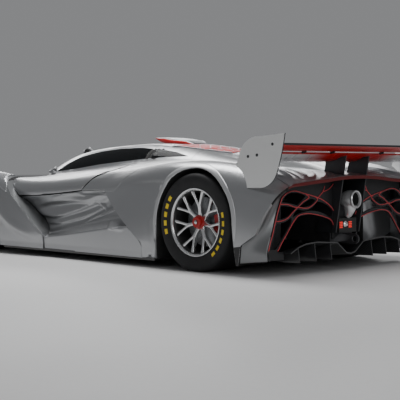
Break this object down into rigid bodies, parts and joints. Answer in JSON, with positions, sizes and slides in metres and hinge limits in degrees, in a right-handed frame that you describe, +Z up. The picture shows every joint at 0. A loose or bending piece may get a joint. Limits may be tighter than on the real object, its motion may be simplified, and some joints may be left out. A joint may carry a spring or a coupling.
{
  "type": "sports prototype race car",
  "caption": "Low closed sports racing car with a teardrop canopy, wide fenders over the wheels, side doors, steered front wheels, a rear wing on pillars and a finned diffuser.",
  "frame": {"origin": "on the floor under the middle of the car's length and width", "axes": "+X to the nose, +Y to the car's left, +Z up"},
  "size_m": [4.563, 1.9472, 0.977],
  "materials": {
    "silver_paint": "satin silver paint",
    "carbon": "bare carbon composite",
    "dark_glass": "smoked glazing",
    "red_paint": "gloss red",
    "lamp_lens": "clear cover",
    "seat_fabric": "padded fabric",
    "black_plastic": "grained",
    "grey_plate": "light grey, matt",
    "dark_plate": "dark grey, satin",
    "black_panel": "gloss black",
    "engine_metal": "cast",
    "bright_metal": "polished",
    "lamp_red": "lamp box",
    "upright_metal": "machined",
    "tyre": "slick",
    "rim_silver": "polished silver",
    "disc_iron": "turned"
  },
  "bodies": {
    "chassis": {"tub": "carbon", "undertray": "carbon", "nose_shell": "silver_paint", "side_pods": "silver_paint", "rear_shell": "silver_paint", "canopy_frame": "silver_paint", "windscreen": "dark_glass", "quarter_windows": "dark_glass", "engine_cover": "silver_paint", "roof_scoop": "red_paint", "headlamps": "lamp_lens", "bulkhead": "carbon", "seat": "seat_fabric", "dashboard": "carbon", "steering_wheel": "black_plastic", "wing_main": "red_paint", "wing_flap": "red_paint", "wing_endplates": "grey_plate", "wing_pillars": "dark_plate", "diffuser": "carbon", "rear_fascia": "black_panel", "engine_block": "engine_metal", "gearbox": "engine_metal", "exhaust": "bright_metal", "rain_light": "lamp_red", "front_wishbones": "dark_plate", "rear_suspension": "dark_plate"},
    "door_left": {"door_panel_left": "silver_paint", "door_glass_left": "dark_glass"},
    "steer_left": {"front_upright_left": "upright_metal"},
    "door_right": {"door_panel_right": "silver_paint", "door_glass_right": "dark_glass"},
    "steer_right": {"front_upright_right": "upright_metal"},
    "front_wheel_left": {"front_tyre_left": "tyre", "front_rim_left": "rim_silver", "front_disc_left": "disc_iron"},
    "front_wheel_right": {"front_tyre_right": "tyre", "front_rim_right": "rim_silver", "front_disc_right": "disc_iron"},
    "rear_wheel_left": {"rear_tyre_left": "tyre", "rear_rim_left": "rim_silver", "rear_disc_left": "disc_iron"},
    "rear_wheel_right": {"rear_tyre_right": "tyre", "rear_rim_right": "rim_silver", "rear_disc_right": "disc_iron"}
  },
  "joints": [
    {"name": "door_left_hinge", "type": "hinge", "parent": "chassis", "child": "door_left", "pos_m": [0.85, 0.503, 0.692], "axis": [0.8003, 0.3821, -0.4621], "range_deg": [0, 60]},
    {"name": "door_right_hinge", "type": "hinge", "parent": "chassis", "child": "door_right", "pos_m": [0.85, -0.503, 0.692], "axis": [-0.8003, 0.3821, 0.4621], "range_deg": [0, 60]},
    {"name": "steering_left", "type": "hinge", "parent": "chassis", "child": "steer_left", "pos_m": [1.35, 0.755, 0.325], "axis": [0, 0, 1], "range_deg": [-15, 15]},
    {"name": "steering_right", "type": "hinge", "parent": "chassis", "child": "steer_right", "pos_m": [1.35, -0.755, 0.325], "axis": [0, 0, 1], "range_deg": [-15, 15]},
    {"name": "front_wheel_left_spin", "type": "hinge", "parent": "steer_left", "child": "front_wheel_left", "pos_m": [1.35, 0.945, 0.325], "axis": [0, 1, 0], "continuous": true},
    {"name": "front_wheel_right_spin", "type": "hinge", "parent": "steer_right", "child": "front_wheel_right", "pos_m": [1.35, -0.945, 0.325], "axis": [0, 1, 0], "continuous": true},
    {"name": "rear_wheel_left_spin", "type": "hinge", "parent": "chassis", "child": "rear_wheel_left", "pos_m": [-1.45, 0.957, 0.355], "axis": [0, 1, 0], "continuous": true},
    {"name": "rear_wheel_right_spin", "type": "hinge", "parent": "chassis", "child": "rear_wheel_right", "pos_m": [-1.45, -0.957, 0.355], "axis": [0, 1, 0], "continuous": true}
  ],
  "couplings": [
    {"joint": "steering_right", "follows": "steering_left", "ratio": 1}
  ]
}
